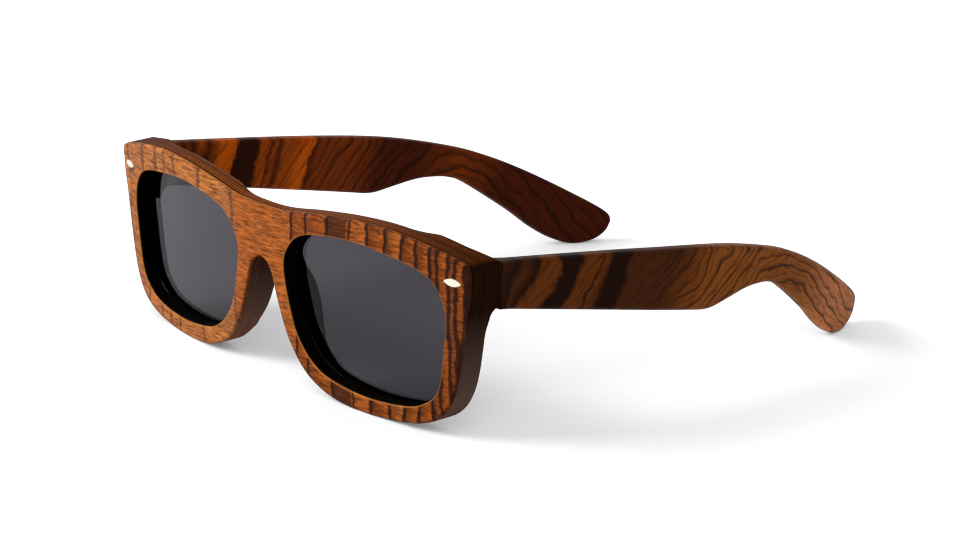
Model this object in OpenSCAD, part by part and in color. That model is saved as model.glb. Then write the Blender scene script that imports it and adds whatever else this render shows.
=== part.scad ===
// Wooden sunglasses: a bent eight-ply front, two tinted lenses, two carved
// temples and two five-knuckle hinges. Millimetres, Z up, the front faces -Y,
// the wearer's left is +X, the rims and the temple tips stand on Z = 0.

/* [Front] */
// Width of the front over the two lugs
front_width = 140.8; // [135:0.1:149]
// Height of the front, lower rim to brow
front_height = 46.5; // [43:0.1:50]
// Rim between the lens opening and the end of the lug
rim_side = 6.85; // [6.2:0.05:8]
// Rim below the lens opening
rim_below = 4.15; // [3.8:0.05:5.2]
// Brow above the lens opening
rim_above = 5.35; // [5:0.05:6.5]
// Bend radius of the front face, seen from above
face_radius = 340; // [260:1:440]
// Forward lean of the front, top towards the front
front_lean = 3.43; // [1:0.01:6]
// Thickness of one ply
ply_thickness = 0.9; // [0.8:0.01:1]
// Bridge thickness left at the top middle
bridge_thickness = 3.3; // [3:0.1:3.5]
// Height of the carved pad behind the nose side of each rim
pad_height = 3; // [2:0.1:3.6]

/* [Lenses] */
// Distance between the two lens openings
lens_gap = 18.8; // [18:0.1:21]
// Lens thickness
lens_thickness = 1.55; // [1.2:0.05:1.55]
// Depth of the lens groove
groove_depth = 0.8; // [0.5:0.05:1]
// Clearance between lens edge and groove
groove_clearance = 0.1; // [0.05:0.01:0.2]

/* [Corner pins] */
// Length of the inlaid pin
pin_length = 5; // [4:0.1:5.6]
// Height of the inlaid pin
pin_height = 1.8; // [1.4:0.1:2.4]
// How far the pin stands proud of the face
pin_proud = 0.15; // [0.05:0.01:0.3]

/* [Temples] */
// Step from the end of the front in to the outer face of the temple
temple_inset = 0.4; // [0.2:0.1:1.2]
// Temple thickness
temple_thickness = 4.5; // [4:0.1:5]
// Temple length behind the lug
temple_length = 137.4; // [130:0.2:142]
// Straight length before the temple bows in
temple_straight = 44; // [36:1:52]
// Radius of the inward bow
bow_radius = 230; // [200:1:300]

/* [Hinges] */
// Barrel radius
barrel_radius = 1.4; // [1.2:0.05:1.5]
// Pivot screw shank radius
pivot_radius = 0.7; // [0.6:0.05:0.8]
// Radial clearance of the turning knuckles
pivot_clearance = 0.04; // [0.02:0.01:0.08]
// Hinge height over five knuckles
hinge_height = 6.4; // [5.6:0.1:7]
// Gap between knuckles
knuckle_gap = 0.08; // [0.05:0.01:0.12]
// Leaf thickness
leaf_thickness = 1; // [0.8:0.05:1.2]
// Gap between lug and temple, open
joint_gap = 0.25; // [0.2:0.01:0.4]
// Gap between barrel and wood
barrel_gap = 0.3; // [0.2:0.01:0.4]
// Leaf screw shank radius
screw_radius = 0.5; // [0.4:0.05:0.6]
// Leaf screw head radius
screw_head = 1; // [0.8:0.05:1.1]
// Screw length in the wood
screw_length = 1.5; // [1.2:0.1:1.8]

/* [Hidden] */
$fn = 96;
rim_plies = 8;
rim_thickness = rim_plies * ply_thickness;
groove_front = 4 * ply_thickness;
back_radius = face_radius - rim_thickness;
lug_behind = 2.5;
lug_depth = rim_thickness + lug_behind;
step_count = 3;
lens_width = (front_width - lens_gap) / 2 - rim_side;
lens_height = front_height - rim_below - rim_above;
temple_span = front_width - 2 * temple_inset;
reach = front_width / 4;

// Points of a closed smooth curve through the given points
function wrap(p, i) = p[(i + len(p)) % len(p)];
function blend(a, b, c, d, t) =
  0.5 * (2 * b + (c - a) * t + (2 * a - 5 * b + 4 * c - d) * t * t + (3 * b - a - 3 * c + d) * t * t * t);
function smooth(p, n) =
  [for (i = [0 : len(p) - 1]) for (j = [0 : n - 1])
    blend(wrap(p, i - 1), p[i], wrap(p, i + 1), wrap(p, i + 2), j / n)];
// The same for an open curve, ends included
function pick(p, i) = p[max(0, min(len(p) - 1, i))];
function smooth_open(p, n) =
  [for (i = [0 : len(p) - 2]) for (j = [0 : n - 1])
    blend(pick(p, i - 1), p[i], p[i + 1], pick(p, i + 2), j / n), p[len(p) - 1]];
// A closed counter-clockwise curve moved outwards by d
function side_of(p, i) = wrap(p, i + 1) - wrap(p, i - 1);
function grow(p, d) =
  [for (i = [0 : len(p) - 1]) p[i] + d * [side_of(p, i)[1], -side_of(p, i)[0]] / norm(side_of(p, i))];

// Front outline, left half, from the top of the bridge round to its arch
half_outline = [[9, 42], [18.5, 43.4], [31, 44.8], [43, 45.2], [54, 44.3], [64.4, 42.5],
  [69.2, 41.2], [70.2, 39.8], [70.4, 37], [70.1, 33.4], [69.3, 29.8], [68.4, 24], [67.5, 18.5],
  [66.5, 13.5], [65, 8.8], [62.6, 4.8], [59.1, 2], [53.5, 0.1], [46, -0.9], [38, -1.3],
  [31, -1.1], [25, -0.2], [20, 1.5], [16, 3.9], [12.6, 7.3], [9.4, 12], [6.8, 18.2],
  [5.1, 23.2], [3.9, 26.3], [2.2, 28]];
half_count = len(half_outline);
fx = front_width / (2 * max([for (p = half_outline) p[0]]));
base_low = min([for (p = half_outline) p[1]]);
base_high = max([for (p = half_outline) p[1]]);
fs = front_height / (base_high - base_low);
bridge_top = 41.9;
bridge_arch = 28.6;
full_outline = concat([[0, bridge_top]], half_outline, [[0, bridge_arch]],
  [for (i = [half_count - 1 : -1 : 0]) [-half_outline[i][0], half_outline[i][1]]]);
outline = smooth([for (p = full_outline) [p[0] * fx, p[1] * fs]], step_count);

// Left lens opening, counter-clockwise from the outer side
lens_x = lens_gap / 2 + lens_width / 2;
lens_s = base_low * fs + rim_below + lens_height / 2;
opening_shape = [[0.981, 0], [1, 0.33], [0.93, 0.645], [0.727, 0.856], [0.25, 0.972], [-0.17, 0.996],
  [-0.68, 0.895], [-0.91, 0.684], [-1, 0.352], [-0.9, -0.28], [-0.787, -0.579], [-0.619, -0.801],
  [-0.398, -0.928], [0.04, -1], [0.49, -0.961], [0.735, -0.85], [0.903, -0.607]];
unit_x = max([for (p = opening_shape) p[0]]);
opening = smooth([for (p = opening_shape)
  [lens_x + p[0] / unit_x * lens_width / 2, lens_s + p[1] / unit_x * lens_height / 2]], step_count);

// Face depth at x, and the shift that sets the part on Z = 0 and centres it
function face_y(x) = face_radius - sqrt(face_radius * face_radius - x * x);
function back_y(x) = face_radius - sqrt(back_radius * back_radius - x * x);
low_z = min([for (p = outline) p[1] * cos(front_lean) + face_y(p[0]) * sin(front_lean)]);
front_y = min([for (p = outline) face_y(p[0]) * cos(front_lean) - p[1] * sin(front_lean)]);

// Lug, hinge and temple stations
temple_out = temple_span / 2;
temple_in = temple_out - temple_thickness;
hinge_place = 34.2;
lug_s = hinge_place * fs;
joint_y = (face_y(temple_out) + lug_depth) * cos(front_lean) - lug_s * sin(front_lean);
hinge_x = temple_in - barrel_gap - barrel_radius;
hinge_y = joint_y + barrel_gap + barrel_radius;
hinge_z = lug_s - low_z;
temple_end = joint_y + temple_length;
shift_y = -(front_y + temple_end) / 2;
knuckle_height = (hinge_height - 4 * knuckle_gap) / 5;
leaf_inner = hinge_x - barrel_radius;
leaf_margin = 1.2;
screw_offset = 3.5;
leaf_outer = temple_out - leaf_margin;
front_screw_x = hinge_x + screw_offset;
temple_leaf_y = joint_y + joint_gap + leaf_margin;
temple_leaf_length = 7.6;
pivot_head = 1.2;
pivot_head_height = 0.6;
slot_width = 0.35;
slot_depth = 0.3;

// Temple side shape: along the length, above the table
lower_edge = [[64, 19.9], [67.5, 19.8], [73, 20.8], [80, 22.1], [85.5, 22.3], [90.6, 21.7], [96, 19.5],
  [108.8, 10.9], [115.8, 5.4], [122, 1.6], [127.5, 0], [132.8, 0.8], [136, 3.2], [137.4, 6.2]];
upper_edge = [[137.4, 6.2], [136.2, 8.8], [128.8, 13.5], [114, 21.5], [101.3, 27.1], [90, 30.6],
  [71, 34.5], [44, 37.7], [15, 40.5]];
end_low = 30.7;
end_high = 41.8;
base_hinge_z = 35.05;
ty = temple_length / max([for (p = lower_edge) p[0]]);
tz = hinge_z / base_hinge_z;
lower_curve = smooth_open(lower_edge, step_count);
upper_curve = smooth_open(upper_edge, step_count);
tip_low = min([for (p = lower_curve) p[1]]);
temple_side = concat([[joint_gap / ty, end_low]], lower_curve,
  [for (i = [1 : len(upper_curve) - 1]) upper_curve[i]], [[joint_gap / ty, end_high]]);

// Which piece to draw

// Frames: the part's own, and the leaning frame of the front
module part_frame() {
  translate([0, shift_y, 0]) children();
}
module front_frame() {
  part_frame() translate([0, 0, -low_z]) rotate([front_lean, 0, 0]) children();
}
module right_side() {
  mirror([1, 0, 0]) children();
}

// Shapes of the front
module through(points) {
  translate([0, reach, 0]) rotate([90, 0, 0]) linear_extrude(1.2 * reach) polygon(points);
}
module bend(depth) {
  translate([0, face_radius, -reach / 2]) cylinder(r = face_radius - depth, h = 2.5 * reach, $fn = 720);
}
module shell(d0, d1) {
  difference() {
    bend(d0);
    bend(d1);
  }
}
module both_sides() {
  children();
  right_side() children();
}
scoop_radius = 38;
scoop_place = 42;
module bridge_scoop() {
  translate([0, bridge_thickness + scoop_radius, scoop_place * fs]) sphere(r = scoop_radius, $fn = 180);
}
pin_x = 66;
pin_s = 36.6;
module pin_prism() {
  arc = (pin_length * pin_length + pin_height * pin_height) / (4 * pin_height);
  translate([pin_x * fx, -reach / 10, pin_s * fs]) rotate([-90, 0, 0]) intersection() {
    translate([0, arc - pin_height / 2, 0]) cylinder(r = arc, h = reach);
    translate([0, pin_height / 2 - arc, 0]) cylinder(r = arc, h = reach);
  }
}

// Front plies: 1 is the figured face, 5 and 6 hold the lens groove
module front_ply(k) {
  widen = (k == 5 || k == 6) ? groove_depth : 0;
  hole = widen > 0 ? grow(opening, widen) : opening;
  color(k % 2 == 1 ? "#6b3a20" : "#3a1d10") front_frame() difference() {
    intersection() {
      shell((k - 1) * ply_thickness, k * ply_thickness);
      through(outline);
    }
    both_sides() through(hole);
    if (k >= 4) bridge_scoop();
    if (k <= 2) both_sides() pin_prism();
  }
}

// Lug block behind the outer top corner, cut square for the temple
flank_place = 60.8;
floor_place = 29.6;
ledge_place = 69;
top_place = 41.6;
lug_sink = 0.1;
lug_flank = flank_place * fx;
lug_round = 5;
lug_floor = floor_place * fs;
ledge_round = 3;
lug_top = top_place * tz;
lug_slope = 32;
ledge_y = back_y(ledge_place * fx);
lug_plan = concat([[lug_flank - lug_round, rim_thickness]],
  [for (a = [0 : 15 : 90]) [lug_flank - lug_round + lug_round * sin(a),
    back_y(lug_flank - lug_round) - lug_sink + lug_round * (1 - cos(a))]],
  [[lug_flank, reach], [front_width, reach], [front_width, rim_thickness]]);
lug_side = concat([[rim_thickness, lug_floor - ledge_round]],
  [for (a = [0 : 15 : 90]) [ledge_y + ledge_round * (1 - cos(a)),
    lug_floor - ledge_round + ledge_round * sin(a)]],
  [[reach, lug_floor], [reach, 2 * reach], [rim_thickness, 2 * reach]]);
module left_lug_block() {
  color("#43230f") difference() {
    front_frame() intersection() {
      bend(rim_thickness);
      through(outline);
      linear_extrude(2 * reach) polygon(lug_plan);
      translate([reach, 0, 0]) rotate([90, 0, 90]) linear_extrude(2 * reach) polygon(lug_side);
    }
    front_frame() through(opening);
    part_frame() translate([0, joint_y, 0]) cube(front_width);
    part_frame() translate([0, joint_y, lug_top]) rotate([-lug_slope, 0, 0])
      translate([0, -reach, 0]) cube([front_width, 2 * reach, 2 * reach]);
    part_frame() front_leaf_plate();
    part_frame() front_screw_set();
  }
}

// Nose pad: a carved swelling behind the nose side of the rim
pad_start = 8.4;
pad_end = 29;
pad_place = 8;
pad_low = pad_start * fs;
pad_high = pad_end * fs;
pad_half = (pad_high - pad_low) / 2;
pad_radius = (pad_half * pad_half + pad_height * pad_height) / (2 * pad_height);
module left_nose_pad() {
  color("#4a2814") front_frame() difference() {
    intersection() {
      bend(rim_thickness);
      through(outline);
      translate([0, back_y(pad_place * fx) + pad_height - pad_radius, (pad_low + pad_high) / 2])
        rotate([0, 90, 0]) cylinder(r = pad_radius, h = lens_x, $fn = 360);
    }
    through(opening);
    bridge_scoop();
  }
}

// Lens, bearing on the front wall of its groove
module left_lens() {
  color("#4c4a4f") front_frame() intersection() {
    shell(groove_front, groove_front + lens_thickness);
    through(grow(opening, groove_depth - groove_clearance));
  }
}

// Inlaid pin at the outer top corner of the face
module left_corner_pin() {
  color("#f0e8d4") front_frame() intersection() {
    shell(-pin_proud, 2 * ply_thickness);
    pin_prism();
  }
}

// Temple: straight to the ear, then bowed in and turned down
module left_temple() {
  color("#5a2f18") part_frame() difference() {
    intersection() {
      translate([0, joint_y, -tip_low]) rotate([90, 0, 90]) linear_extrude(front_width)
        polygon([for (p = temple_side) [p[0] * ty, p[1] * tz]]);
      union() {
        translate([temple_in, joint_y, -reach / 7]) cube([temple_thickness, temple_straight, 2 * reach]);
        intersection() {
          translate([temple_out - bow_radius, joint_y + temple_straight, -reach / 7]) difference() {
            cylinder(r = bow_radius, h = 2 * reach, $fn = 720);
            translate([0, 0, -reach / 7])
              cylinder(r = bow_radius - temple_thickness, h = 3 * reach, $fn = 720);
          }
          translate([0, joint_y + temple_straight, -reach / 5])
            cube([front_width, temple_length, 3 * reach]);
        }
      }
    }
    temple_leaf_plate();
    temple_screw_set();
  }
}

// Hinge leaves let into lug and temple, three knuckles on the front, two on the temple
module front_leaf_plate() {
  translate([leaf_inner, joint_y - leaf_thickness, hinge_z - hinge_height / 2])
    cube([leaf_outer - leaf_inner, leaf_thickness, hinge_height]);
}
module temple_leaf_plate() {
  translate([temple_in, temple_leaf_y, hinge_z - hinge_height / 2])
    cube([leaf_thickness, temple_leaf_length, hinge_height]);
}
module knuckle_at(i) {
  translate([hinge_x, hinge_y, hinge_z - hinge_height / 2 + i * (knuckle_height + knuckle_gap)]) children();
}
module pivot_bore(r) {
  translate([hinge_x, hinge_y, hinge_z - hinge_height]) cylinder(r = r, h = 2 * hinge_height);
}
module left_front_leaf() {
  color("#b9b4aa") part_frame() difference() {
    union() {
      front_leaf_plate();
      for (i = [0, 2, 4]) knuckle_at(i) {
        cylinder(r = barrel_radius, h = knuckle_height);
        translate([-barrel_radius, joint_y - leaf_thickness / 2 - hinge_y, 0])
          cube([1.5 * barrel_radius, hinge_y - joint_y + leaf_thickness / 2, knuckle_height]);
      }
    }
    pivot_bore(pivot_radius);
    front_screw_set();
  }
}
module left_temple_leaf() {
  color("#b9b4aa") part_frame() difference() {
    union() {
      temple_leaf_plate();
      for (i = [1, 3]) knuckle_at(i) {
        cylinder(r = barrel_radius, h = knuckle_height);
        translate([0, temple_leaf_y - hinge_y, 0])
          cube([temple_in + leaf_thickness / 2 - hinge_x,
            hinge_y + barrel_radius - temple_leaf_y, knuckle_height]);
      }
    }
    pivot_bore(pivot_radius + pivot_clearance);
    temple_screw_set();
  }
}

// Pivot screw: the shank fills the knuckles, the head sits on the top one
module left_pivot_screw() {
  color("#8d8a84") part_frame() translate([hinge_x, hinge_y, hinge_z - hinge_height / 2]) difference() {
    union() {
      cylinder(r = pivot_radius, h = hinge_height);
      translate([0, 0, hinge_height]) cylinder(r = pivot_head, h = pivot_head_height);
    }
    translate([-2 * pivot_head, -slot_width / 2, hinge_height + pivot_head_height - slot_depth])
      cube([4 * pivot_head, slot_width, 2 * slot_depth]);
  }
}

// Leaf screws: two in each leaf, heads flush with the leaf
module leaf_screw() {
  cylinder(r = screw_head, h = leaf_thickness / 2);
  cylinder(r = screw_radius, h = leaf_thickness + screw_length);
}
module front_screw_set() {
  for (z = [-1, 1]) translate([front_screw_x, joint_y, hinge_z + z * hinge_height / 4])
    rotate([90, 0, 0]) leaf_screw();
}
module temple_screw_set() {
  for (y = [0.5, 0.82]) translate([temple_in, temple_leaf_y + y * temple_leaf_length, hinge_z])
    rotate([0, 90, 0]) leaf_screw();
}
module left_front_leaf_screws() {
  color("#8d8a84") part_frame() front_screw_set();
}
module left_temple_leaf_screws() {
  color("#8d8a84") part_frame() temple_screw_set();
}

front_ply(1);  // front_ply_01
front_ply(2);  // front_ply_02
front_ply(3);  // front_ply_03
front_ply(4);  // front_ply_04
front_ply(5);  // front_ply_05
front_ply(6);  // front_ply_06
front_ply(7);  // front_ply_07
front_ply(8);  // front_ply_08
left_lug_block();
right_side() left_lug_block();  // right_lug_block
left_nose_pad();
right_side() left_nose_pad();  // right_nose_pad
left_lens();
right_side() left_lens();  // right_lens
left_corner_pin();
right_side() left_corner_pin();  // right_corner_pin
left_temple();
right_side() left_temple();  // right_temple
left_front_leaf();
right_side() left_front_leaf();  // right_front_leaf
left_temple_leaf();
right_side() left_temple_leaf();  // right_temple_leaf
left_pivot_screw();
right_side() left_pivot_screw();  // right_pivot_screw
left_front_leaf_screws();
right_side() left_front_leaf_screws();  // right_front_leaf_screws
left_temple_leaf_screws();
right_side() left_temple_leaf_screws();  // right_temple_leaf_screws
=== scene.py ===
"""Wooden sunglasses: a bent laminated front, grey lenses, two folding side arms."""
import math

import bpy
import bmesh
import numpy as np
from mathutils import Matrix, Vector
from mathutils.geometry import delaunay_2d_cdt


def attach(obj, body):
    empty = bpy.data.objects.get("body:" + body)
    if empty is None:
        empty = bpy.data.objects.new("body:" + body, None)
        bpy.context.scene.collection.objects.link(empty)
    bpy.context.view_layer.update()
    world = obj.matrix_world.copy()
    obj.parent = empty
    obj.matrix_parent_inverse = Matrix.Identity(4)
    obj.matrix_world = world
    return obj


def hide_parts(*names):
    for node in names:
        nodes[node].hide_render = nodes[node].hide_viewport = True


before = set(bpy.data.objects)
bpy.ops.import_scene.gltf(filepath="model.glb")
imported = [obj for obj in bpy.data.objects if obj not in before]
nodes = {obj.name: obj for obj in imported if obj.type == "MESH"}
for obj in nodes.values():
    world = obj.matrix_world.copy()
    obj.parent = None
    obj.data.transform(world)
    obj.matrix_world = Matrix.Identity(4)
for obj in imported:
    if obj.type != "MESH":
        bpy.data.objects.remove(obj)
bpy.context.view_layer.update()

# Front plies.
# Eight veneers of rosewood, 0.9 mm each, glued round a form and sawn to the outline;
# the edges are rounded by hand, and the walls of the lens openings are coloured near-black, with a painted
# highlight along their front edges.
mm = 0.001
bend_radius = 340.0
lean = math.radians(3.43)
ply = 0.9
ply_count = 8
rim = ply * ply_count
bridge_top = 41.9
bridge_arch = 28.6
half_outline = [(9, 42), (18.5, 43.4), (31, 44.8), (43, 45.2), (54, 44.3), (64.4, 42.5), (69.2, 41.2),
                (70.2, 39.8), (70.4, 37), (70.1, 33.4), (69.3, 29.8), (68.4, 24), (67.5, 18.5),
                (66.5, 13.5), (65, 8.8), (62.6, 4.8), (59.1, 2), (53.5, 0.1), (46, -0.9), (38, -1.3),
                (31, -1.1), (25, -0.2), (20, 1.5), (16, 3.9), (12.6, 7.3), (9.4, 12), (6.8, 18.2),
                (5.1, 23.2), (3.9, 26.3), (2.2, 28)]
opening_shape = [(0.981, 0), (1, 0.33), (0.93, 0.645), (0.727, 0.856), (0.25, 0.972), (-0.17, 0.996),
                 (-0.68, 0.895), (-0.91, 0.684), (-1, 0.352), (-0.9, -0.28), (-0.787, -0.579),
                 (-0.619, -0.801), (-0.398, -0.928), (0.04, -1), (0.49, -0.961), (0.735, -0.85),
                 (0.903, -0.607)]
opening_middle = (36.475, 21.35)
opening_size = (54.15, 37.0)
outline_steps = 8
opening_steps = 7


def curve(points, steps, closed=True):
    """A smooth curve through the points, as an array."""
    p = np.array(points, float)
    count = len(p)
    out = []
    for i in range(count if closed else count - 1):
        pick = [(i + k) % count if closed else min(max(i + k, 0), count - 1) for k in (-1, 0, 1, 2)]
        a, b, c, d = p[pick]
        for t in np.arange(steps) / steps:
            out.append(0.5 * (2 * b + (c - a) * t + (2 * a - 5 * b + 4 * c - d) * t ** 2
                              + (3 * b - a - 3 * c + d) * t ** 3))
    return np.array(out if closed else out + [p[-1]])


def grow(loop, amount):
    """A counter-clockwise loop moved outwards; the amount may differ from point to point."""
    along = np.roll(loop, -1, 0) - np.roll(loop, 1, 0)
    out = np.stack([along[:, 1], -along[:, 0]], 1) / np.linalg.norm(along, axis=1)[:, None]
    return loop + out * np.reshape(amount, (-1, 1))


left_half = [(0, bridge_top)] + half_outline + [(0, bridge_arch)]
right_half = [(-x, s) for x, s in reversed(half_outline)]
outline = curve(left_half + right_half, outline_steps)[::-1]
left_opening = curve([(opening_middle[0] + x * opening_size[0] / 2,
                       opening_middle[1] + s * opening_size[1] / 2) for x, s in opening_shape],
                     opening_steps)
right_opening = (left_opening * (-1, 1))[::-1]
face_depth = bend_radius - np.sqrt(bend_radius ** 2 - outline[:, 0] ** 2)
lift = -np.min(outline[:, 1] * math.cos(lean) + face_depth * math.sin(lean))
front_most = np.min(face_depth * math.cos(lean) - outline[:, 1] * math.sin(lean))
temple_out = 70.0
temple_length = 137.4
lug_depth = 9.7
hinge_s = 34.2
joint_y = ((bend_radius - math.sqrt(bend_radius ** 2 - temple_out ** 2) + lug_depth) * math.cos(lean)
           - hinge_s * math.sin(lean))
shift_y = -(front_most + joint_y + temple_length) / 2


def on_front(x, s, depth):
    """A point of the leaning, bent front, in metres: across, up the front, in from its face."""
    y = bend_radius - math.sqrt((bend_radius - depth) ** 2 - x * x)
    return (x * mm, (y * math.cos(lean) - s * math.sin(lean) + shift_y) * mm,
            (s * math.cos(lean) + y * math.sin(lean) + lift) * mm)


def inside(points, loop):
    """Which of the points lie in the loop."""
    px, py = points[:, 0], points[:, 1]
    hit = np.zeros(len(points), bool)
    for (x0, y0), (x1, y1) in zip(loop, np.roll(loop, -1, 0)):
        if y0 != y1:
            hit ^= ((y0 > py) != (y1 > py)) & (px < (x1 - x0) * (py - y0) / (y1 - y0) + x0)
    return hit


crease_deg = 40


def finish_mesh(name, points, faces, crease=crease_deg):
    """A closed, smooth-shaded object from points in metres."""
    mesh = bpy.data.meshes.new(name)
    mesh.from_pydata(points, [], faces)
    solid = bmesh.new()
    solid.from_mesh(mesh)
    bmesh.ops.recalc_face_normals(solid, faces=solid.faces)
    solid.to_mesh(mesh)
    solid.free()
    mesh.shade_smooth()
    mesh.set_sharp_from_angle(angle=math.radians(crease))
    piece = bpy.data.objects.new(name, mesh)
    bpy.context.scene.collection.objects.link(piece)
    return piece


def slab(name, rings, place, pitch=0):
    """A plate stacked from rings of (depth, outer loop, hole loops); both ends are closed, and
    get a grid of points where a pitch is given. Returns the object and, for each vertex, its
    ring and its loop."""
    edge_clear = 0.4
    points, faces, marks, starts = [], [], [], []
    for level, (depth, outer, holes) in enumerate(rings):
        starts.append([])
        for which, loop in enumerate([outer] + holes):
            starts[-1].append(len(points))
            points += [place(a, b, depth) for a, b in loop]
            marks += [(level, which)] * len(loop)
    loops = [len(loop) for loop in [rings[0][1]] + rings[0][2]]
    for level in range(len(rings) - 1):
        for which, count in enumerate(loops):
            low, high = starts[level][which], starts[level + 1][which]
            for i in range(count):
                j = (i + 1) % count
                faces.append((low + i, low + j, high + j, high + i))
    for level in (0, len(rings) - 1):
        depth, outer, holes = rings[level]
        flat = np.concatenate([outer] + holes)
        edges, base = [], 0
        for count in loops:
            edges += [(base + i, base + (i + 1) % count) for i in range(count)]
            base += count
        index = list(range(starts[level][0], starts[level][0] + len(flat)))
        if pitch:
            lo, hi = outer.min(0), outer.max(0)
            grid = np.stack(np.meshgrid(np.arange(lo[0] + pitch / 2, hi[0], pitch),
                                        np.arange(lo[1] + pitch / 2, hi[1], pitch)), -1).reshape(-1, 2)
            keep = inside(grid, outer)
            for hole in holes:
                keep &= ~inside(grid, hole)
            grid = grid[keep]
            near = np.min(np.linalg.norm(grid[:, None] - flat[None], axis=2), axis=1)
            grid = grid[near > pitch * edge_clear]
            index += list(range(len(points), len(points) + len(grid)))
            points += [place(a, b, depth) for a, b in grid]
            marks += [(level, -1)] * len(grid)
            flat = np.concatenate([flat, grid])
        made = delaunay_2d_cdt([Vector(p) for p in flat], edges, [], 0, 1e-7)
        origin = [from_list[0] for from_list in made[3]]
        triangles = np.array([[origin[v] for v in face] for face in made[2]])
        middle = flat[triangles].mean(1)
        keep = inside(middle, outer)
        for hole in holes:
            keep &= ~inside(middle, hole)
        faces += [tuple(index[v] for v in triangle) for triangle in triangles[keep]]
    return finish_mesh(name, points, faces), marks


def soft_step(value, low, high):
    """0 below low, 1 above high, smooth between."""
    t = np.clip((value - low) / (high - low), 0, 1)
    return t * t * (3 - 2 * t)


def round_inset(from_edge, radius):
    """How far a rounded edge lies in, at this distance from the plane it runs out into."""
    left = max(radius - from_edge, 0)
    return radius - math.sqrt(max(radius ** 2 - left ** 2, 0))


# Back edges stay square where a lug or a nose pad carries on behind them, and at the bridge's
# hollow; the brow's back edge falls away more. Places are in mm across the front and up it.
front_round = 0.8
back_round = 1.2
hole_front_round = 0.35
hole_back_round = 1.2
brow_deep = 4.5
brow_fall = 2.0
corner_sharper = 0.45
ax, s_up = np.abs(outline[:, 0]), outline[:, 1]
by_lug = soft_step(ax, 50, 55) * soft_step(s_up, 22, 27)
by_pad = (1 - soft_step(ax, 14, 20)) * soft_step(s_up, 2, 7) * (1 - soft_step(s_up, 30, 33))
by_scoop = (1 - soft_step(ax, 13, 20)) * soft_step(s_up, 34, 38)
outer_weight = 1 - np.clip(by_lug + by_pad + by_scoop, 0, 1)
brow_weight = (1 - soft_step(ax, 47, 56)) * soft_step(s_up, 36, 39)
by_corner = soft_step(ax, 67, 69.5) * soft_step(s_up, 37, 39.5)
front_weight = 1 - corner_sharper * by_corner
hole_x, hole_s = left_opening[:, 0], left_opening[:, 1]
left_weight = 1 - (1 - soft_step(hole_x, 16, 24)) * soft_step(hole_s, 3, 7)
right_weight = left_weight[::-1]
inside_cad = 0.02


def ply_ring(depth, widen):
    """The outline and both openings of the front at this depth."""
    brow_inset = brow_fall / brow_deep * round_inset(rim - depth, brow_deep)
    inset = (front_weight * round_inset(depth, front_round)
             + np.maximum(outer_weight * round_inset(rim - depth, back_round), brow_weight * brow_inset))
    hole_inset = round_inset(depth, hole_front_round)
    back = round_inset(rim - depth, hole_back_round)
    outer = grow(outline, -inset - inside_cad)
    return (depth, outer, [grow(left_opening, hole_inset + back * left_weight + widen),
                           grow(right_opening, hole_inset + back * right_weight + widen)])


def carve(piece, cutter):
    """Cuts the cutter's shape out of the piece for good and drops the cutter."""
    cut = piece.modifiers.new("cut", "BOOLEAN")
    cut.object = cutter
    evaluated = piece.evaluated_get(bpy.context.evaluated_depsgraph_get())
    carved = bpy.data.meshes.new_from_object(evaluated)
    carved.set_sharp_from_angle(angle=math.radians(crease_deg))
    piece.modifiers.clear()
    piece.data = carved
    bpy.data.objects.remove(cutter)


def srgb(text):
    """Linear colour of an sRGB hex value."""
    parts = [int(text[i:i + 2], 16) / 255 for i in (1, 3, 5)]
    return [p / 12.92 if p <= 0.04045 else ((p + 0.055) / 1.055) ** 2.4 for p in parts] + [1.0]


def add(tree, kind, inputs={}, stops=None, **settings):
    """A node with its settings; each input is a value or the socket it is linked from."""
    node = tree.nodes.new(kind)
    for key, value in settings.items():
        setattr(node, key, value)
    if stops:
        ramp = node.color_ramp
        while len(ramp.elements) < len(stops):
            ramp.elements.new(0.5)
        for element, (place, colour) in zip(ramp.elements, stops):
            element.position = place
            element.color = srgb(colour) if isinstance(colour, str) else (colour, colour, colour, 1)
    for key, value in inputs.items():
        if isinstance(value, bpy.types.NodeSocket):
            tree.links.new(value, node.inputs[key])
        else:
            node.inputs[key].default_value = value
    return node


def new_material(name):
    """An empty node material with its shader."""
    material = bpy.data.materials.new(name)
    material.use_nodes = True
    tree = material.node_tree
    return material, tree, tree.nodes["Principled BSDF"]


def front_place(tree):
    """Places on the front in millimetres: across, in from the chord, and up, without the lean."""
    where = add(tree, "ShaderNodeTexCoord")
    flat = add(tree, "ShaderNodeMapping",
               {"Vector": where.outputs["Object"], "Location": (0, shift_y * mm, lift * mm),
                "Rotation": (lean, 0, 0), "Scale": (mm, mm, mm)}, vector_type="TEXTURE")
    return where, flat, add(tree, "ShaderNodeSeparateXYZ", {0: flat.outputs[0]})


# The colour sockets of a Mix node: its two inputs and its output.
under, over, mixed = 6, 7, 2

# Rosewood veneer, sanded and oiled: orange-brown crossed by sharp dark growth lines, paling from
# each line to the next and covered with short bright flecks, with a dull satin surface. The left
# half is darker and more sharply lined than the right, whose paler, greyer tones are partly a
# painted sheen of the white room at grazing angles.
veneer, tree, shader = new_material("oiled_rosewood_veneer")
where, flat, part = front_place(tree)
sway_reach, ripple_reach = 4.0, 1.5
sway = add(tree, "ShaderNodeTexNoise", {"Vector": flat.outputs[0], "Scale": 0.1, "Detail": 2.0})
ripple = add(tree, "ShaderNodeTexNoise",
             {"Vector": flat.outputs[0], "Scale": 0.7, "Detail": 4.0, "Roughness": 0.65})
sway_mm = add(tree, "ShaderNodeMath", {0: sway.outputs[0], 1: sway_reach, 2: part.outputs[0]},
              operation="MULTIPLY_ADD")
line_mm = add(tree, "ShaderNodeMath", {0: ripple.outputs[0], 1: ripple_reach, 2: sway_mm.outputs[0]},
              operation="MULTIPLY_ADD")
band_mm = add(tree, "ShaderNodeMath", {0: line_mm.outputs[0], 1: (sway_reach + ripple_reach) / 2},
              operation="SUBTRACT")
half_span = 76.0
band_edge = 0.2
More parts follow.
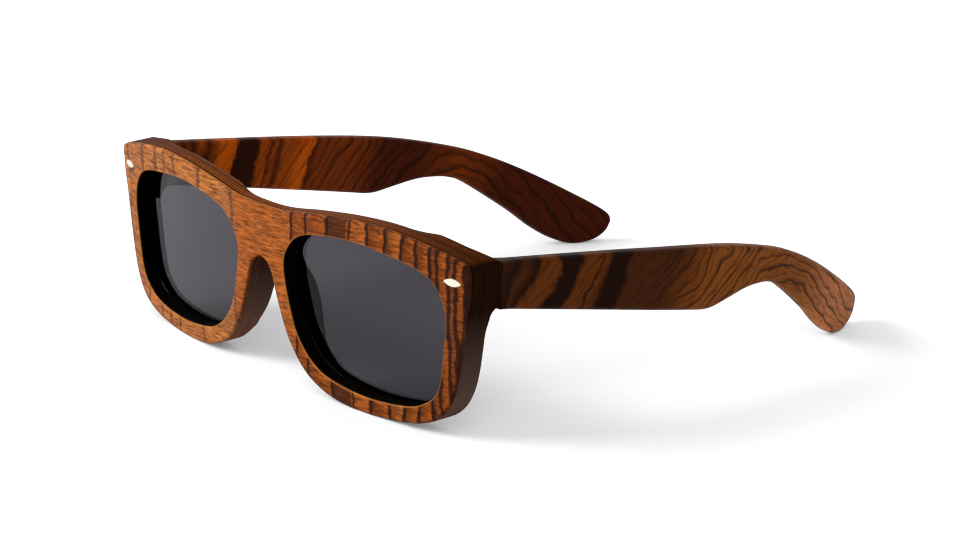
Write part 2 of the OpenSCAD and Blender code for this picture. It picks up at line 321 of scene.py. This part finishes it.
honey, amber, brown, dark, heart = "#965121", "#8a4616", "#70391a", "#50270f", "#3d1e0e"
tan, fawn = "#a4642f", "#985c34"
left_bands = [(0, honey, honey), (13, brown, amber), (18, brown, amber), (26, heart, dark),
              (33, amber, honey), (39, dark, amber), (45, dark, honey), (50, heart, amber),
              (54.5, dark, amber), (58.7, heart, brown), (61, dark, amber), (64.2, heart, brown),
              (66.5, dark, amber), (69.3, heart, dark)]
# The right half's pale, greyish tones are partly painted sheen, the white room's grazing reflection on the far
# half.
right_bands = [(0, honey, honey), (10.5, fawn, tan), (26, fawn, tan), (39, fawn, tan),
               (44, fawn, tan), (49, fawn, tan), (57, fawn, fawn), (66, tan, tan)]
on_left = add(tree, "ShaderNodeMath", {0: part.outputs[0], 1: 0.0}, operation="GREATER_THAN")
band_place = add(tree, "ShaderNodeMath", {0: band_mm.outputs[0], 1: half_span}, operation="DIVIDE")
from_middle = add(tree, "ShaderNodeMath", {0: band_place.outputs[0]}, operation="ABSOLUTE")
half_woods, half_lines = [], []
for bands, line_wide in ((right_bands, 1.2), (left_bands, 0.9)):
    tone_stops, line_stops = [], [(0.0, 0.0)]
    ends = [start for start, _, _ in bands[1:]] + [half_span]
    for (start, first, last), end in zip(bands, ends):
        tone_stops += [(start / half_span, first), ((end - band_edge) / half_span, last)]
    for start, _, _ in bands[1:]:
        line_stops += [(start / half_span, 1.0), ((start + line_wide) / half_span, 0.0)]
    half_woods.append(add(tree, "ShaderNodeValToRGB", {0: from_middle.outputs[0]}, stops=tone_stops))
    half_lines.append(add(tree, "ShaderNodeValToRGB", {0: from_middle.outputs[0]}, stops=line_stops))
    half_lines[-1].color_ramp.interpolation = "CONSTANT"
banded = add(tree, "ShaderNodeMix", {0: on_left.outputs[0], under: half_woods[0].outputs[0],
                                     over: half_woods[1].outputs[0]}, data_type="RGBA")
lined = add(tree, "ShaderNodeMix", {0: on_left.outputs[0], under: half_lines[0].outputs[0],
                                    over: half_lines[1].outputs[0]}, data_type="RGBA")
line_strength = add(tree, "ShaderNodeMapRange",
                    {"Value": on_left.outputs[0], "To Min": 0.5, "To Max": 0.85})
line_part = add(tree, "ShaderNodeMath", {0: lined.outputs[mixed], 1: line_strength.outputs[0]},
                operation="MULTIPLY")
fleck_place = add(tree, "ShaderNodeMapping",
                  {"Vector": flat.outputs[0], "Rotation": (0, 0.12, 0), "Scale": (0.22, 1.0, 2.0)})
flecks = add(tree, "ShaderNodeTexNoise", {"Vector": fleck_place.outputs[0], "Scale": 1.0, "Detail": 3.0,
                                          "Roughness": 0.7, "Distortion": 0.5})
bright_part = add(tree, "ShaderNodeValToRGB", {0: flecks.outputs[0]}, stops=[(0.5, 0.0), (0.62, 0.7)])
bright_wood = add(tree, "ShaderNodeMix",
                  {0: bright_part.outputs[0], under: banded.outputs[mixed], over: (0.55, 0.48, 0.3, 1)},
                  data_type="RGBA", blend_type="DODGE")
dark_part = add(tree, "ShaderNodeValToRGB", {0: flecks.outputs[0]}, stops=[(0.36, 0.75), (0.51, 0.0)])
fleck_wood = add(tree, "ShaderNodeMix", {0: dark_part.outputs[0], under: bright_wood.outputs[mixed],
                                         over: srgb("#381605")}, data_type="RGBA")
line_wood = add(tree, "ShaderNodeMix", {0: line_part.outputs[0], under: fleck_wood.outputs[mixed],
                                        over: srgb("#26110a")}, data_type="RGBA")
# Edges facing +x, away from the key lamp, are darkened to deep brown: partly end grain, partly painted shade.
facing = add(tree, "ShaderNodeSeparateXYZ", {0: where.outputs["Normal"]})
shade_side_part = add(tree, "ShaderNodeMapRange",
              {"Value": facing.outputs[0], "From Min": 0.45, "From Max": 0.85, "To Max": 0.8})
shaded_edge_wood = add(tree, "ShaderNodeMix", {0: shade_side_part.outputs[0], under: line_wood.outputs[mixed],
                                        over: srgb("#2a150c")}, data_type="RGBA")
# Painted highlight: a light orange band along the rounded front edges of the lens openings, where the lamp
# would catch them.
painted_edge_light = add(tree, "ShaderNodeAttribute", attribute_name="painted_edge_light")
painted_edge_light_part = add(tree, "ShaderNodeMath", {0: painted_edge_light.outputs["Fac"], 1: 0.4}, operation="MULTIPLY")
painted_edge_light_wood = add(tree, "ShaderNodeMix", {0: painted_edge_light_part.outputs[0], under: shaded_edge_wood.outputs[mixed],
                                        over: srgb("#cf8638")}, data_type="RGBA")
# The walls of the lens openings are coloured near-black.
black_wall_mask = add(tree, "ShaderNodeAttribute", attribute_name="black_wall_mask")
dark_wall = add(tree, "ShaderNodeMix", {0: black_wall_mask.outputs["Fac"], under: painted_edge_light_wood.outputs[mixed],
                                        over: srgb("#050302")}, data_type="RGBA")
dents = add(tree, "ShaderNodeBump",
            {"Height": flecks.outputs[0], "Strength": 0.15, "Distance": 0.1 * mm})
tree.links.new(dark_wall.outputs[mixed], shader.inputs["Base Color"])
tree.links.new(dents.outputs[0], shader.inputs["Normal"])
shader.inputs["Roughness"].default_value = 0.42
shader.inputs["Specular IOR Level"].default_value = 0.03

# Stacked dark veneers seen edge-on, oiled: each ply has its own red-brown, with thin light glue
# lines between. Towards the lugs the plies get darker. On the sides, where the grain ends, the wood
# is dark; low down a painted sheen of the white room makes it grey-brown, and beside the lug it is
# almost black, dark end grain with painted shade.
laminate, tree, shader = new_material("oiled_rosewood_laminate")
where, flat, part = front_place(tree)
layer_shift = -0.05
to_axis = add(tree, "ShaderNodeMath", {0: bend_radius, 1: part.outputs[1]}, operation="SUBTRACT")
radial = add(tree, "ShaderNodeCombineXYZ", {0: part.outputs[0], 1: to_axis.outputs[0]})
distance = add(tree, "ShaderNodeVectorMath", {0: radial.outputs[0]}, operation="LENGTH")
depth_mm = add(tree, "ShaderNodeMath", {0: bend_radius, 1: distance.outputs["Value"]},
               operation="SUBTRACT")
layer = add(tree, "ShaderNodeMath", {0: depth_mm.outputs[0], 1: 1 / ply, 2: layer_shift / ply},
            operation="MULTIPLY_ADD")
layer_run = add(tree, "ShaderNodeMath", {0: layer.outputs[0]}, operation="FRACT")
layer_index = add(tree, "ShaderNodeMath", {0: layer.outputs[0]}, operation="FLOOR")
layer_tone = add(tree, "ShaderNodeTexWhiteNoise", {"W": layer_index.outputs[0]}, noise_dimensions="1D")
grain_place = add(tree, "ShaderNodeMapping", {"Vector": flat.outputs[0], "Scale": (0.2, 2.4, 0.35)})
grain = add(tree, "ShaderNodeTexNoise",
            {"Vector": grain_place.outputs[0], "Scale": 1.0, "Detail": 4.0, "Roughness": 0.65})
tone_sum = add(tree, "ShaderNodeMath", {0: layer_tone.outputs[0], 1: 0.45, 2: grain.outputs[0]},
               operation="MULTIPLY_ADD")
layer_wood = add(tree, "ShaderNodeValToRGB", {0: tone_sum.outputs[0]},
                 stops=[(0.4, "#1f0803"), (0.65, "#3c1406"), (0.95, "#662a0c")])
glue = add(tree, "ShaderNodeValToRGB", {0: layer_run.outputs[0]},
           stops=[(0.0, 1.0), (0.08, 1.0), (0.2, 0.0), (0.92, 0.0), (1.0, 1.0)])
facing = add(tree, "ShaderNodeSeparateXYZ", {0: where.outputs["Normal"]})
glue_seen = add(tree, "ShaderNodeMapRange", {"Value": facing.outputs[1], "From Min": 0.5,
                                             "From Max": 0.85, "To Min": 0.75, "To Max": 0.08})
glue_part = add(tree, "ShaderNodeMath", {0: glue.outputs[0], 1: glue_seen.outputs[0]},
                operation="MULTIPLY")
glued_wood = add(tree, "ShaderNodeMix", {0: glue_part.outputs[0], under: layer_wood.outputs[0],
                                         over: srgb("#c07428")}, data_type="RGBA")
end_grain = add(tree, "ShaderNodeMath", {0: facing.outputs[0]}, operation="ABSOLUTE")
end_part = add(tree, "ShaderNodeMapRange",
               {"Value": end_grain.outputs[0], "From Min": 0.35, "From Max": 0.9, "To Max": 0.86})
# The plies get darker towards the lugs.
from_middle = add(tree, "ShaderNodeMath", {0: part.outputs[0]}, operation="ABSOLUTE")
lugward_part = add(tree, "ShaderNodeMapRange",
               {"Value": from_middle.outputs[0], "From Min": 34.0, "From Max": 66.0, "To Max": 0.7})
lugward_dark_wood = add(tree, "ShaderNodeMix", {0: lugward_part.outputs[0], under: glued_wood.outputs[mixed],
                                         over: srgb("#240c04")}, data_type="RGBA")
# Painted sheen: end-grain sides are grey-brown low down, standing in for the white room's reflection, and
# near-black by the lug, dark end grain with painted shade.
sheen_height = add(tree, "ShaderNodeMapRange",
                {"Value": part.outputs[2], "From Min": 2.0, "From Max": 32.0})
end_grain_and_sheen_wood = add(tree, "ShaderNodeValToRGB", {0: sheen_height.outputs[0]},
               stops=[(0.0, "#5a4a43"), (0.5, "#40322c"), (0.9, "#100705")])
side_wood = add(tree, "ShaderNodeMix", {0: end_part.outputs[0], under: lugward_dark_wood.outputs[mixed],
                                        over: end_grain_and_sheen_wood.outputs[0]}, data_type="RGBA")
# The walls of the lens openings are coloured near-black.
black_wall_mask = add(tree, "ShaderNodeAttribute", attribute_name="black_wall_mask")
dark_wall = add(tree, "ShaderNodeMix", {0: black_wall_mask.outputs["Fac"], under: side_wood.outputs[mixed],
                                        over: srgb("#050302")}, data_type="RGBA")
tree.links.new(dark_wall.outputs[mixed], shader.inputs["Base Color"])
shader.inputs["Roughness"].default_value = 0.45
shader.inputs["Specular IOR Level"].default_value = 0.005

groove = 0.8
groove_plies = (5, 6)
round_plies = 7
painted_edge_light_span = (0.02, 0.25)
black_wall_span = (0.3, rim - 0.1)
scoop_radius = 38.0
scoop_middle = 42.0
bridge = 3.3
scoop_y = bridge + scoop_radius
scoop_place = (0, (scoop_y * math.cos(lean) - scoop_middle * math.sin(lean) + shift_y) * mm,
               (scoop_middle * math.cos(lean) + scoop_y * math.sin(lean) + lift) * mm)
quarter_turn = [math.radians(a) for a in range(0, 91, 15)]
for k in range(1, ply_count + 1):
    name = "front_ply_%02d" % k
    near, far = (k - 1) * ply, k * ply
    if k == 1:
        levels = [front_round * (1 - math.cos(a)) for a in quarter_turn] + [far]
    elif k >= round_plies:
        levels = [far - (far - near) * t for t in (1, 0.75, 0.5, 0.3, 0.15, 0.05, 0)]
    else:
        levels = [near, (near + far) / 2, far]
    widen = groove if k in groove_plies else 0
    piece, marks = slab(name + "_wood", [ply_ring(d, widen) for d in levels], on_front,
                        pitch=3 if k in (1, ply_count) else 0)
    # Marks the painted highlight on the openings' rounded front edges in the first ply.
    painted_edge_light = piece.data.attributes.new("painted_edge_light", "FLOAT", "POINT")
    painted_edge_light.data.foreach_set("value", [1.0 if k == 1 and which > 0
                                    and painted_edge_light_span[0] < levels[level] < painted_edge_light_span[1] else 0.0
                                    for level, which in marks])
    # Marks the walls of the lens openings, which are coloured near-black.
    black_wall_mask = piece.data.attributes.new("black_wall_mask", "FLOAT", "POINT")
    black_wall_mask.data.foreach_set("value", [1.0 if which > 0
                                     and black_wall_span[0] < levels[level] < black_wall_span[1] else 0.0
                                     for level, which in marks])
    if far > bridge:
        ball = bmesh.new()
        bmesh.ops.create_uvsphere(ball, u_segments=120, v_segments=60, radius=scoop_radius * mm,
                                  matrix=Matrix.Translation(scoop_place))
        ball_mesh = bpy.data.meshes.new("bridge_cutter")
        ball.to_mesh(ball_mesh)
        ball.free()
        ball_mesh.shade_smooth()
        cutter = bpy.data.objects.new("bridge_cutter", ball_mesh)
        bpy.context.scene.collection.objects.link(cutter)
        carve(piece, cutter)
    piece.data.materials.append(veneer if k == 1 else laminate)
    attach(piece, "front")
    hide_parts(name)

# Lug blocks.
# Short stacks of the same veneers glued behind the outer top corners to carry the hinges,
# sawn square at the back; only the sharp corners are broken.
for side in ("left", "right"):
    lug = nodes[side + "_lug_block"]
    lug.data.materials.clear()
    lug.data.materials.append(laminate)
    edge = lug.modifiers.new("broken_edges", "BEVEL")
    edge.width = 0.35 * mm
    edge.segments = 3
    edge.limit_method = "ANGLE"
    edge.angle_limit = math.radians(crease_deg)

# Nose pads.
# Carved from blocks glued behind the nose side of each rim: a long swelling, steep beside
# the lens and well rounded towards the nose.
pad_height = 3.0
pad_span = (8.4, 29.0)
pad_half = (pad_span[1] - pad_span[0]) / 2
pad_radius = (pad_half ** 2 + pad_height ** 2) / (2 * pad_height)
pad_middle = sum(pad_span) / 2
pad_side_gap = 0.03
pad_sunk = 0.05
pad_nose_round = 2.8
pad_lens_round = 0.9
pad_first, pad_last, pad_sections = pad_span[0] + 0.1, 28.4, 44
nose_side = (outline[:, 0] > 1.5) & (outline[:, 0] < 16) & (outline[:, 1] < 28.5) & (outline[:, 1] > 3)
nose_curve = outline[nose_side][np.argsort(outline[nose_side][:, 1])]
lens_side = (hole_x < 27) & (hole_s < 34)
lens_curve = left_opening[lens_side][np.argsort(hole_s[lens_side])]


def pad_section(s):
    """The closed cross-section of a pad at this height: base, then its rounded back."""
    x0 = np.interp(s, nose_curve[:, 1], nose_curve[:, 0]) + pad_side_gap
    x1 = np.interp(s, lens_curve[:, 1], lens_curve[:, 0]) - pad_side_gap
    rise = max(pad_height - pad_radius + math.sqrt(pad_radius ** 2 - (s - pad_middle) ** 2), 0.02)
    nose_round, lens_round = min(rise, pad_nose_round), min(rise, pad_lens_round)
    base, back = [], []
    for t in np.linspace(0, math.pi, 19):
        x = x0 + (x1 - x0) * (1 - math.cos(t)) / 2
        top = min(rise - round_inset(x - x0, nose_round), rise - round_inset(x1 - x, lens_round))
        from_scoop = math.sqrt(max(scoop_radius ** 2 - x * x - (s - scoop_middle) ** 2, 0))
        hollow = bridge + scoop_radius - from_scoop - rim
        base.append((x, s, rim - pad_sunk))
        back.append((x, s, rim + max(min(top, hollow), 0.0)))
    return base + back[::-1]


for side, turn in (("left", 1), ("right", -1)):
    sections = [pad_section(s) for s in np.linspace(pad_first, pad_last, pad_sections)]
    points = [on_front(turn * x, s, depth) for section in sections for x, s, depth in section]
    size = len(sections[0])
    faces = [(r * size + i, r * size + (i + 1) % size, (r + 1) * size + (i + 1) % size, (r + 1) * size + i)
             for r in range(len(sections) - 1) for i in range(size)]
    faces += [tuple(range(size)), tuple(range((len(sections) - 1) * size, len(sections) * size))]
    pad = finish_mesh(side + "_nose_pad_wood", points, faces, crease=50)
    pad.data.materials.append(laminate)
    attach(pad, "front")
    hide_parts(side + "_nose_pad")

# Lenses.
# Sheet lenses of grey tinted plastic, bent to the front's curve and sprung into the groove.
lens_front = 3.6
lens_back = lens_front + 1.55
lens_tuck = 0.7

# Grey cast lens plastic, polished and coated against reflections: dark neutral grey with a
# breath of violet, clear to look through.
lens_grey, tree, shader = new_material("grey_lens_plastic")
shader.inputs["Base Color"].default_value = srgb("#4e4b52")
shader.inputs["Roughness"].default_value = 0.0
shader.inputs["IOR"].default_value = 1.2
shader.inputs["Transmission Weight"].default_value = 1.0

for side, loop in (("left", left_opening), ("right", right_opening)):
    edge = grow(loop, lens_tuck)
    lens, _ = slab(side + "_lens_sheet", [(lens_front, edge, []), (lens_back, edge, [])], on_front, pitch=2)
    lens.data.materials.append(lens_grey)
    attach(lens, "front")
    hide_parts(side + "_lens")

# Corner pins.
# Pointed pins of pale polished metal, let into the face at the outer top corners and left
# a little proud.

# Polished aluminium: bright, almost white, with soft reflections.
pin_metal, tree, shader = new_material("polished_aluminium")
shader.inputs["Base Color"].default_value = srgb("#f2ecdc")
shader.inputs["Metallic"].default_value = 1.0
shader.inputs["Roughness"].default_value = 0.28
for side in ("left", "right"):
    pin = nodes[side + "_corner_pin"]
    pin.data.materials.clear()
    pin.data.materials.append(pin_metal)

# Temples.
# Side arms sawn from solid rosewood, bowed in towards the head, turned down behind the ear
# and rounded all along their edges; the hinge leaf lies in a shallow seat with a round end.
temple_thick = 4.5
temple_in = temple_out - temple_thick
temple_straight = 44.0
temple_round = 1.5
temple_proud = 0.03
bow_radius = 230.0
joint_gap = 0.25
drawn_hinge = 35.05
lower_edge = [(64, 19.9), (67.5, 19.8), (73, 20.8), (80, 22.1), (85.5, 22.3), (90.6, 21.7), (96, 19.5),
              (108.8, 10.9), (115.8, 5.4), (122, 1.6), (127.5, 0), (132.8, 0.8), (136, 3.2), (137.4, 6.2)]
upper_edge = [(137.4, 6.2), (136.2, 8.8), (128.8, 13.5), (114, 21.5), (101.3, 27.1), (90, 30.6),
              (71, 34.5), (44, 37.7), (15, 40.5)]
edge_steps = 6
lower_line = curve(lower_edge, edge_steps, closed=False)
upper_line = curve(upper_edge, edge_steps, closed=False)
corners = np.concatenate([[(joint_gap, 30.7)], lower_line, upper_line[1:], [(joint_gap, 41.8)]])
corners[:, 1] = corners[:, 1] * (hinge_s + lift) / drawn_hinge - lower_line[:, 1].min()
longest_step = 2
temple_loop = []
for here, after in zip(corners, np.roll(corners, -1, 0)):
    cuts = max(1, math.ceil(np.linalg.norm(after - here) / longest_step))
    temple_loop += [here + (after - here) * i / cuts for i in range(cuts)]
temple_loop = np.array(temple_loop)
temple_weight = (0.15 + 0.85 * soft_step(temple_loop[:, 0], 0.5, 6)
                 - 0.35 * soft_step(temple_loop[:, 0], 133, 136.5))
seat_start, seat_middle, seat_half, seat_deep = 1.43, 5.83, 3.22, 1.02


def on_temple(length, height, across):
    """A point of the left temple in metres: back from the joint, up, and out from its inner face."""
    back = max(length - temple_straight, 0)
    x = temple_out - bow_radius + math.sqrt((bow_radius - temple_thick + across) ** 2 - back ** 2)
    return (x * mm, (joint_y + length + shift_y) * mm, height * mm)


for side, turn in (("left", 1), ("right", -1)):
    rings = [(temple_round * (1 - math.cos(a)), temple_round * (1 - math.sin(a))) for a in quarter_turn]
    rings += [(temple_thick - across, inset) for across, inset in reversed(rings)]
    rings[0] = (-temple_proud, temple_round)
    rings = [(across, grow(temple_loop, -inset * temple_weight - inside_cad), [])
             for across, inset in rings]

    def placed(length, height, across):
        """A point of this side's temple."""
        x, y, z = on_temple(length, height, across)
        return (turn * x, y, z)

    temple, _ = slab(side + "_temple_wood", rings, placed, pitch=4)
    seat_x = (turn * (temple_in - 1) * mm, turn * (temple_in + seat_deep) * mm)
    seat_side = [(seat_middle + seat_half * math.cos(a), seat_half * math.sin(a))
                 for a in np.linspace(-math.pi / 2, math.pi / 2, 25)]
    seat_side = [(seat_start, -seat_half)] + seat_side + [(seat_start, seat_half)]
    points = [(x, (joint_y + shift_y + along) * mm, (hinge_s + lift + high) * mm)
              for x in seat_x for along, high in seat_side]
    size = len(seat_side)
    faces = [(i, (i + 1) % size, (i + 1) % size + size, i + size) for i in range(size)]
    cutter = finish_mesh("seat", points, faces + [tuple(range(size)), tuple(range(size, 2 * size))])
    carve(temple, cutter)

    # Solid rosewood, sanded and oiled: dark heartwood bands slant across the front half, and thin
    # dark growth lines flow round the bend behind; a dull satin. The left arm is browner and
    # pales towards its tip, the pale tip partly a painted highlight; the right one is redder, with wider
    # lines.
    wood, tree, shader = new_material("oiled_rosewood_%s_arm" % side)
    where = add(tree, "ShaderNodeTexCoord")
    flat = add(tree, "ShaderNodeMapping",
               {"Vector": where.outputs["Object"], "Location": (0, (joint_y + shift_y) * mm, 0),
                "Scale": (mm, mm, mm)}, vector_type="TEXTURE")
    part = add(tree, "ShaderNodeSeparateXYZ", {0: flat.outputs[0]})
    if side == "left":
        slant, arch_slope, ring_mm = -0.55, 0.85, 11.0
        # The pale tone near the tip is partly a painted highlight.
        heart, brown, amber, honey, pale_and_glint = "#1c0c06", "#45220e", "#60300e", "#864a1c", "#bf7649"
        tones = [(-24, brown), (-16, heart), (-14.5, brown), (-11, heart), (-9.5, amber), (-5.2, amber),
                 (-4.2, heart), (2, heart), (3, amber), (8, amber), (9, heart), (10, amber),
                 (12.5, brown), (13.5, heart), (20, heart), (21.5, brown), (34, brown), (40, amber),
                 (52, honey), (92, honey), (116, pale_and_glint), (137, pale_and_glint)]
    else:
        slant, arch_slope, ring_mm = -0.35, 1.4, 17.0
        heart, brown, amber, tawny, orange = "#2a0e05", "#44180a", "#6e2e0c", "#8e3e0b", "#b65009"
        tones = [(-16, heart), (-11, amber), (-9.5, heart), (-7, amber), (-5, heart), (-2.5, tawny),
                 (-0.5, heart), (1.5, tawny), (2.5, orange), (7, orange), (8, heart), (16, heart),
                 (17, tawny), (19.5, tawny), (20.2, brown), (21.2, tawny), (23, brown), (24.5, tawny),
                 (28, tawny), (31, orange), (34, orange), (35, brown), (37, amber), (50, amber),
                 (58, brown), (70, brown), (84, amber), (98, brown), (137, brown)]
    tone_from, tone_to = -24, 140
    sway_reach, ripple_reach = 9.0, 3.0
    reach_middle = (sway_reach + ripple_reach) / 2
    sway = add(tree, "ShaderNodeTexNoise", {"Vector": flat.outputs[0], "Scale": 0.07, "Detail": 2.0})
    ripple = add(tree, "ShaderNodeTexNoise",
                 {"Vector": flat.outputs[0], "Scale": 0.5, "Detail": 4.0, "Roughness": 0.65})
    tilt = add(tree, "ShaderNodeMath", {0: part.outputs[2], 1: slant, 2: part.outputs[1]},
               operation="MULTIPLY_ADD")
    sway_mm = add(tree, "ShaderNodeMath", {0: sway.outputs[0], 1: sway_reach, 2: tilt.outputs[0]},
                  operation="MULTIPLY_ADD")
    line_mm = add(tree, "ShaderNodeMath",
                  {0: ripple.outputs[0], 1: ripple_reach, 2: sway_mm.outputs[0]}, operation="MULTIPLY_ADD")
    tone_place = add(tree, "ShaderNodeMapRange",
                     {"Value": line_mm.outputs[0], "From Min": tone_from + reach_middle,
                      "From Max": tone_to + reach_middle})
    bands = add(tree, "ShaderNodeValToRGB", {0: tone_place.outputs[0]},
                stops=[((place - tone_from) / (tone_to - tone_from), tone) for place, tone in tones])
    bend_place, bend_soft, drift_reach = 92.0, 14.0, 14.0
    from_bend = add(tree, "ShaderNodeMath", {0: part.outputs[1], 1: bend_place}, operation="SUBTRACT")
    bend_arch = add(tree, "ShaderNodeCombineXYZ", {0: from_bend.outputs[0], 1: bend_soft})
    bend_way = add(tree, "ShaderNodeVectorMath", {0: bend_arch.outputs[0]}, operation="LENGTH")
    grain_up = add(tree, "ShaderNodeMath",
                   {0: bend_way.outputs["Value"], 1: arch_slope, 2: part.outputs[2]}, operation="MULTIPLY_ADD")
    grain_place = add(tree, "ShaderNodeCombineXYZ",
                      {0: part.outputs[0], 1: part.outputs[1], 2: grain_up.outputs[0]})
    drift = add(tree, "ShaderNodeTexNoise", {"Vector": flat.outputs[0], "Scale": 0.06, "Detail": 2.0})
    grain_way = add(tree, "ShaderNodeMath",
                    {0: drift.outputs[0], 1: drift_reach, 2: grain_up.outputs[0]}, operation="MULTIPLY_ADD")
    ring_count = add(tree, "ShaderNodeMath", {0: grain_way.outputs[0], 1: ring_mm}, operation="DIVIDE")
    ring_run = add(tree, "ShaderNodeMath", {0: ring_count.outputs[0]}, operation="FRACT")
    streak_part = add(tree, "ShaderNodeValToRGB", {0: ring_run.outputs[0]},
                      stops=[(0.0, 0.85), (0.07, 0.15), (0.2, 0.0), (0.25, 0.65), (0.31, 0.1), (0.5, 0.0),
                             (0.57, 0.85), (0.65, 0.2), (0.78, 0.0), (0.82, 0.5), (0.87, 0.0),
                             (0.95, 0.1), (1.0, 0.85)])
    behind_ear = add(tree, "ShaderNodeMapRange",
                     {"Value": part.outputs[1], "From Min": 40.0, "From Max": 60.0, "To Min": 0.35})
    streak_mix = add(tree, "ShaderNodeMath", {0: streak_part.outputs[0], 1: behind_ear.outputs[0]},
                     operation="MULTIPLY")
    streaked = add(tree, "ShaderNodeMix", {0: streak_mix.outputs[0], under: bands.outputs[0],
                                           over: srgb("#1c0d06")}, data_type="RGBA")
    pore_place = add(tree, "ShaderNodeMapping",
                     {"Vector": grain_place.outputs[0], "Scale": (1.2, 0.18, 1.8)})
    pores = add(tree, "ShaderNodeTexNoise",
                {"Vector": pore_place.outputs[0], "Scale": 1.0, "Detail": 3.0, "Roughness": 0.7})
    pore_part = add(tree, "ShaderNodeValToRGB", {0: pores.outputs[0]}, stops=[(0.36, 0.6), (0.5, 0.0)])
    arm_wood = add(tree, "ShaderNodeMix", {0: pore_part.outputs[0], under: streaked.outputs[mixed],
                                           over: srgb("#1d0e08")}, data_type="RGBA")
    dents = add(tree, "ShaderNodeBump",
                {"Height": pores.outputs[0], "Strength": 0.12, "Distance": 0.1 * mm})
    tree.links.new(arm_wood.outputs[mixed], shader.inputs["Base Color"])
    tree.links.new(dents.outputs[0], shader.inputs["Normal"])
    shader.inputs["Roughness"].default_value = 0.4
    shader.inputs["Specular IOR Level"].default_value = 0.015
    temple.data.materials.append(wood)
    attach(temple, side + "_arm")
    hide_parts(side + "_temple")

# Hinges.
# Five-knuckle hinges of bright steel with slotted screws; the leaves lie in seats in lug
# and temple.

# Brushed stainless steel: grey with a broad soft highlight.
hinge_steel, tree, shader = new_material("brushed_stainless_steel")
shader.inputs["Base Color"].default_value = srgb("#a8a49c")
shader.inputs["Metallic"].default_value = 1.0
shader.inputs["Roughness"].default_value = 0.35
for side in ("left", "right"):
    for name in ("front_leaf", "temple_leaf", "pivot_screw", "front_leaf_screws", "temple_leaf_screws"):
        metal = nodes[side + "_" + name]
        metal.data.materials.clear()
        metal.data.materials.append(hinge_steel)
        edge = metal.modifiers.new("broken_edges", "BEVEL")
        edge.width = 0.08 * mm
        edge.segments = 2
        edge.limit_method = "ANGLE"
        edge.angle_limit = math.radians(crease_deg)

# Table and light.
# A white table under a large soft lamp from the front left and a weaker one from the front
# right, with a white room behind.
table_half = 3
table_mesh = bpy.data.meshes.new("table")
table_mesh.from_pydata([(-table_half, -table_half, 0), (table_half, -table_half, 0),
                        (table_half, table_half, 0), (-table_half, table_half, 0)], [], [(0, 1, 2, 3)])
table = bpy.data.objects.new("table", table_mesh)
bpy.context.scene.collection.objects.link(table)
table.is_shadow_catcher = True

# White table paint: only the soft shadow on it is seen, and the rest is the white of the room.
table_paint, tree, shader = new_material("white_table_paint")
shader.inputs["Base Color"].default_value = srgb("#ffffff")
shader.inputs["Roughness"].default_value = 0.8
shader.inputs["Alpha"].default_value = 0.9
table_mesh.materials.append(table_paint)
aim = Vector((0, 0, 0.02))
for name, place, size, power in (("key", (-0.5, -0.8, 0.6), 0.6, 9.0), ("fill", (0.9, -0.6, 0.7), 0.8, 4.0)):
    lamp = bpy.data.lights.new(name, "AREA")
    lamp.size = size
    lamp.energy = power
    lamp_object = bpy.data.objects.new(name, lamp)
    lamp_object.location = place
    lamp_object.rotation_euler = (aim - Vector(place)).to_track_quat("-Z", "Y").to_euler()
    bpy.context.scene.collection.objects.link(lamp_object)
world = bpy.data.worlds.new("white_room")
bpy.context.scene.world = world
world.use_nodes = True
tree = world.node_tree
room = tree.nodes["Background"]
path = add(tree, "ShaderNodeLightPath")
seen = add(tree, "ShaderNodeMath",
           {0: path.outputs["Is Camera Ray"], 1: path.outputs["Is Glossy Ray"]}, operation="MAXIMUM")
seen_all = add(tree, "ShaderNodeMath",
               {0: seen.outputs[0], 1: path.outputs["Is Transmission Ray"]}, operation="MAXIMUM")
level = add(tree, "ShaderNodeMapRange", {"Value": seen_all.outputs[0], "To Min": 0.45, "To Max": 1.0})
room.inputs["Color"].default_value = (1, 1, 1, 1)
tree.links.new(level.outputs[0], room.inputs["Strength"])
bpy.context.scene.view_settings.view_transform = "Standard"

# Camera.
# Set where the photograph was taken from: the front left of the wearer, a little above.
azimuth, elevation, roll = math.radians(50.23), math.radians(15.79), math.radians(1.76)
camera_place = Vector((544.81, shift_y - 383.82, lift + 213.25)) * mm
back = Vector((math.sin(azimuth) * math.cos(elevation), -math.cos(azimuth) * math.cos(elevation),
               math.sin(elevation)))
across = Vector((math.cos(azimuth), math.sin(azimuth), 0))
above = back.cross(across)
right = math.cos(roll) * across + math.sin(roll) * above
up = math.cos(roll) * above - math.sin(roll) * across
camera = bpy.data.objects.new("camera", bpy.data.cameras.new("camera"))
camera.data.lens = 106.43
camera.data.sensor_width = 36
camera.matrix_world = (Matrix.Translation(camera_place)
                       @ Matrix((right, up, back)).transposed().to_4x4())
bpy.context.scene.collection.objects.link(camera)
bpy.context.scene.camera = camera
